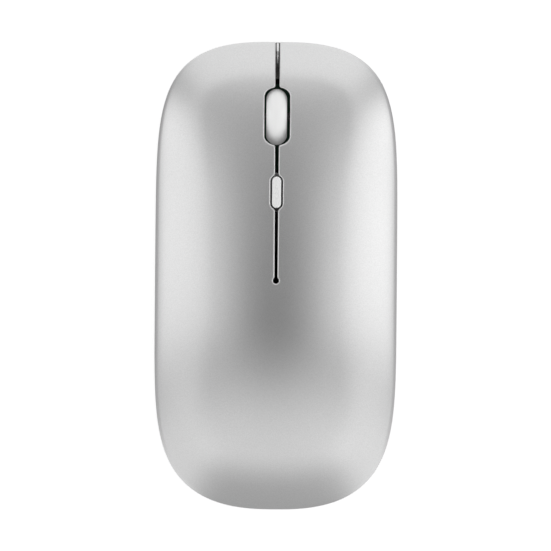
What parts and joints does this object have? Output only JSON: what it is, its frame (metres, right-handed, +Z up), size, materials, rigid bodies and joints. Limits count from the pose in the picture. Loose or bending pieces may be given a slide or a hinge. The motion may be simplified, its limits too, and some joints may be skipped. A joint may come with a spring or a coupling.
{
  "type": "computer mouse",
  "caption": "Slim wireless computer mouse: domed palm cover, split flexing buttons, centre scroll wheel, DPI key, rechargeable inside, with a stowed USB receiver.",
  "frame": {"origin": "on the desk plane (the sliding faces of the feet), under the middle of the plan outline", "axes": "+Y towards the nose (the button end), +X towards the mouse's right side, +Z up away from the desk"},
  "size_m": [0.059, 0.113, 0.026],
  "materials": {
    "silver_shell": "satin metallic paint on moulded ABS",
    "black_inner": "moulded black plastic, lightly grained",
    "white_gloss": "polished white plastic",
    "white_soft": "smooth pearl-white tyre",
    "board_green": "solder-masked glass-epoxy board",
    "chip_black": "moulded chip package",
    "component_tan": "fired ceramic chip body",
    "copper_gold": "gold-plated copper",
    "steel": "bright rolled steel",
    "nickel": "nickel-plated folded steel",
    "screw_zinc": "black zinc plated screw steel",
    "switch_black": "glass-filled switch body",
    "switch_white": "acetal plunger",
    "encoder_grey": "moulded acetal",
    "lens_clear": "clear moulded optical plastic",
    "battery_silver": "laminated foil pouch",
    "foam": "closed-cell foam tape",
    "lead_red": "PVC insulation",
    "lead_black": "PVC insulation",
    "plug_white": "nylon connector",
    "foot_ptfe": "low-friction skate",
    "label_film": "blank printed-stock film"
  },
  "bodies": {
    "chassis": {"palm_cover": "silver_shell", "base_shell": "black_inner", "main_board": "board_green", "optical_sensor": "chip_black", "sensor_lens": "lens_clear", "radio_chip": "chip_black", "crystal": "nickel", "small_components": "component_tan", "antenna_trace": "copper_gold", "charge_socket": "nickel", "charge_tongue": "chip_black", "left_switch_body": "switch_black", "right_switch_body": "switch_black", "switch_legs": "nickel", "encoder_body": "encoder_grey", "encoder_clip": "steel", "wheel_guide_fork": "encoder_grey", "middle_switch_body": "switch_black", "dpi_switch_body": "switch_black", "key_bracket": "black_inner", "power_switch_body": "nickel", "battery_cell": "battery_silver", "battery_tape": "foam", "battery_guard_board": "board_green", "battery_socket": "plug_white", "battery_plug": "plug_white", "battery_lead_red": "lead_red", "battery_lead_black": "lead_black", "bracket_screws": "screw_zinc", "board_screws": "screw_zinc", "case_screws": "screw_zinc", "front_foot": "foot_ptfe", "rear_foot": "foot_ptfe", "blank_label": "label_film", "nose_fin": "silver_shell"},
    "left_button": {"left_button": "silver_shell"},
    "right_button": {"right_button": "silver_shell"},
    "left_plunger": {"left_switch_plunger": "switch_white"},
    "right_plunger": {"right_switch_plunger": "switch_white"},
    "wheel_carrier": {"wheel_bearing_block": "encoder_grey"},
    "wheel": {"wheel_hub": "encoder_grey", "wheel_tyre": "white_soft"},
    "encoder_rotor": {"encoder_rotor": "switch_white"},
    "middle_plunger": {"middle_switch_plunger": "switch_white"},
    "dpi_key": {"dpi_key": "white_gloss"},
    "dpi_plunger": {"dpi_switch_plunger": "switch_white"},
    "power_slider": {"power_knob": "white_gloss", "power_switch_lever": "switch_black"},
    "receiver": {"receiver_plug": "nickel", "receiver_contacts": "switch_black", "receiver_cap": "black_inner"}
  },
  "joints": [
    {"name": "left_click", "type": "hinge", "parent": "chassis", "child": "left_button", "pos_m": [-0.014, -0.0012, 0.016], "axis": [-1, 0, 0], "range_deg": [0, 0.8], "stiffness_Nm_per_rad": 0.6},
    {"name": "right_click", "type": "hinge", "parent": "chassis", "child": "right_button", "pos_m": [0.014, -0.0012, 0.016], "axis": [-1, 0, 0], "range_deg": [0, 0.8], "stiffness_Nm_per_rad": 0.6},
    {"name": "left_switch", "type": "slide", "parent": "chassis", "child": "left_plunger", "axis": [0, 0, -1], "range_m": [0, 0.00066]},
    {"name": "right_switch", "type": "slide", "parent": "chassis", "child": "right_plunger", "axis": [0, 0, -1], "range_m": [0, 0.00066]},
    {"name": "wheel_press", "type": "hinge", "parent": "chassis", "child": "wheel_carrier", "pos_m": [-0.0064, 0.0383, 0.0163], "axis": [0, 1, 0], "range_deg": [0, 1.9], "stiffness_Nm_per_rad": 0.01},
    {"name": "wheel_spin", "type": "hinge", "parent": "wheel_carrier", "child": "wheel", "pos_m": [0, 0.0383, 0.0163], "axis": [1, 0, 0], "continuous": true},
    {"name": "encoder_spin", "type": "hinge", "parent": "chassis", "child": "encoder_rotor", "pos_m": [-0.0064, 0.0383, 0.0163], "axis": [1, 0, 0], "continuous": true},
    {"name": "middle_switch", "type": "slide", "parent": "chassis", "child": "middle_plunger", "axis": [0, 0, -1], "range_m": [0, 0.00048]},
    {"name": "dpi_press", "type": "slide", "parent": "chassis", "child": "dpi_key", "axis": [0, 0, -1], "range_m": [0, 0.00035], "stiffness_N_per_m": 30},
    {"name": "dpi_switch", "type": "slide", "parent": "chassis", "child": "dpi_plunger", "axis": [0, 0, -1], "range_m": [0, 0.00035]},
    {"name": "power_slide", "type": "slide", "parent": "chassis", "child": "power_slider", "axis": [1, 0, 0], "range_m": [0, 0.002]},
    {"name": "receiver_pull", "type": "slide", "parent": "chassis", "child": "receiver", "axis": [0, 0, -1], "range_m": [0, 0.02]}
  ],
  "couplings": [
    {"joint": "left_switch", "follows": "left_click", "m_per_rad": 0.0467},
    {"joint": "right_switch", "follows": "right_click", "m_per_rad": 0.0467},
    {"joint": "encoder_spin", "follows": "wheel_spin", "ratio": 1},
    {"joint": "middle_switch", "follows": "wheel_press", "m_per_rad": 0.0142},
    {"joint": "dpi_switch", "follows": "dpi_press", "ratio": 1}
  ]
}
